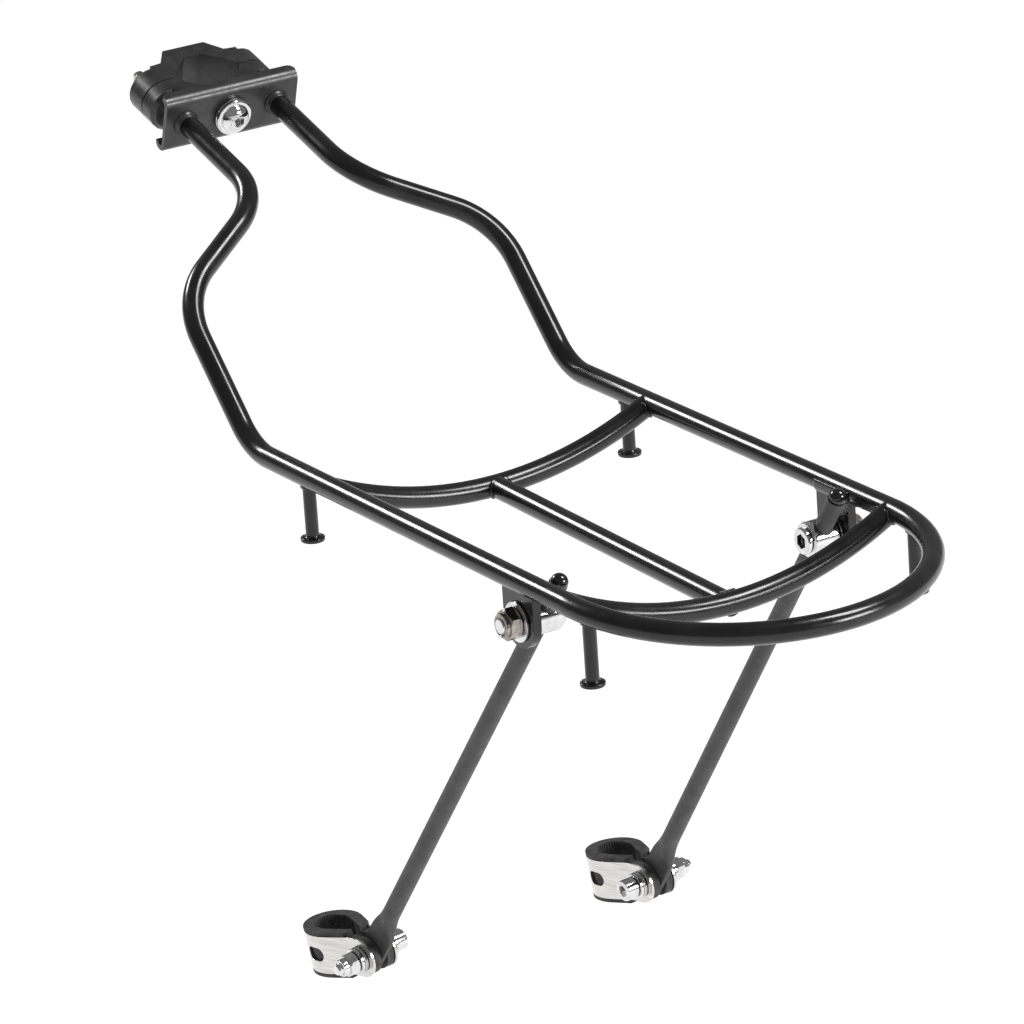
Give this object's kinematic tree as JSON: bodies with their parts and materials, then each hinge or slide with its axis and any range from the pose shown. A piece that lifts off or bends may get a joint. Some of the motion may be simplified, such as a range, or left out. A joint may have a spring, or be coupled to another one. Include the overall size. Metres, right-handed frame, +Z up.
{
  "type": "bicycle rear carrier",
  "caption": "Bent tube rear carrier with a seatpost clamp, hooked pegs and pivoting, sliding struts that end in rubber-lined stay clips.",
  "frame": {"origin": "centre of the seatpost clamp's bore, halfway up the clamp", "axes": "+X to the tail of the carrier, +Y to its right-hand side, +Z up"},
  "size_m": [0.5449, 0.1877, 0.3773],
  "materials": {
    "frame_enamel": "gloss black enamel",
    "bracket_enamel": "satin black enamel",
    "clamp_casting": "painted black casting",
    "strut_coating": "matt dark grey coating",
    "plug_plastic": "gloss black",
    "chrome": "bright plated",
    "clip_strap": "bright stainless",
    "clip_rubber": "ribbed, matt black"
  },
  "bodies": {
    "carrier": {"main_tube": "frame_enamel", "front_cross_tube": "frame_enamel", "rear_cross_tube": "frame_enamel", "centre_bar": "frame_enamel", "peg_front_left": "frame_enamel", "peg_rear_left": "frame_enamel", "peg_front_right": "frame_enamel", "peg_rear_right": "frame_enamel", "strut_tab_left": "frame_enamel", "strut_tab_right": "frame_enamel", "bracket_plate": "bracket_enamel", "bracket_bolt": "chrome", "bracket_washer": "chrome", "clamp_rear_half": "clamp_casting", "clamp_bolt_left": "chrome", "clamp_bolt_right": "chrome"},
    "clamp_cap": {"clamp_front_half": "clamp_casting", "clamp_nut_left": "chrome", "clamp_nut_right": "chrome"},
    "left_eyebolt": {"eyebolt_left": "chrome", "lock_screw_left": "chrome", "inner_washer_left": "chrome", "outer_washer_left": "chrome", "lock_nut_left": "chrome"},
    "left_strut": {"strut_left": "strut_coating", "strut_plug_left": "plug_plastic"},
    "left_clip": {"clip_band_left": "clip_strap", "clip_liner_left": "clip_rubber", "clip_bolt_left": "chrome", "clip_head_washer_left": "chrome", "clip_inner_washer_left": "chrome", "clip_ear_washer_left": "chrome", "clip_nut_washer_left": "chrome", "clip_nut_left": "chrome"},
    "right_eyebolt": {"eyebolt_right": "chrome", "lock_screw_right": "chrome", "inner_washer_right": "chrome", "outer_washer_right": "chrome", "lock_nut_right": "chrome"},
    "right_strut": {"strut_right": "strut_coating", "strut_plug_right": "plug_plastic"},
    "right_clip": {"clip_band_right": "clip_strap", "clip_liner_right": "clip_rubber", "clip_bolt_right": "chrome", "clip_head_washer_right": "chrome", "clip_inner_washer_right": "chrome", "clip_ear_washer_right": "chrome", "clip_nut_washer_right": "chrome", "clip_nut_right": "chrome"}
  },
  "joints": [
    {"name": "clamp_cap_slide", "type": "slide", "parent": "carrier", "child": "clamp_cap", "axis": [-0.9541, 0, 0.2995], "range_m": [0, 0.005]},
    {"name": "left_strut_pivot", "type": "hinge", "parent": "carrier", "child": "left_eyebolt", "pos_m": [0.3893, -0.07075, -0.13415], "axis": [0, 1, 0], "range_deg": [-25, 50]},
    {"name": "left_strut_slide", "type": "slide", "parent": "left_eyebolt", "child": "left_strut", "axis": [0.6184, 0.0082, 0.7858], "range_m": [-0.01, 0.02]},
    {"name": "left_clip_pivot", "type": "hinge", "parent": "left_strut", "child": "left_clip", "pos_m": [0.22363, -0.07207, -0.34442], "axis": [-0.1365, 0.9859, 0.0971], "range_deg": [-45, 45]},
    {"name": "right_strut_pivot", "type": "hinge", "parent": "carrier", "child": "right_eyebolt", "pos_m": [0.3893, 0.07075, -0.13415], "axis": [0, 1, 0], "range_deg": [-25, 50]},
    {"name": "right_strut_slide", "type": "slide", "parent": "right_eyebolt", "child": "right_strut", "axis": [0.5934, -0.0035, 0.8049], "range_m": [-0.01, 0.02]},
    {"name": "right_clip_pivot", "type": "hinge", "parent": "right_strut", "child": "right_clip", "pos_m": [0.23352, 0.07257, -0.3453], "axis": [-0.0771, 0.9951, 0.0612], "range_deg": [-45, 45]}
  ]
}
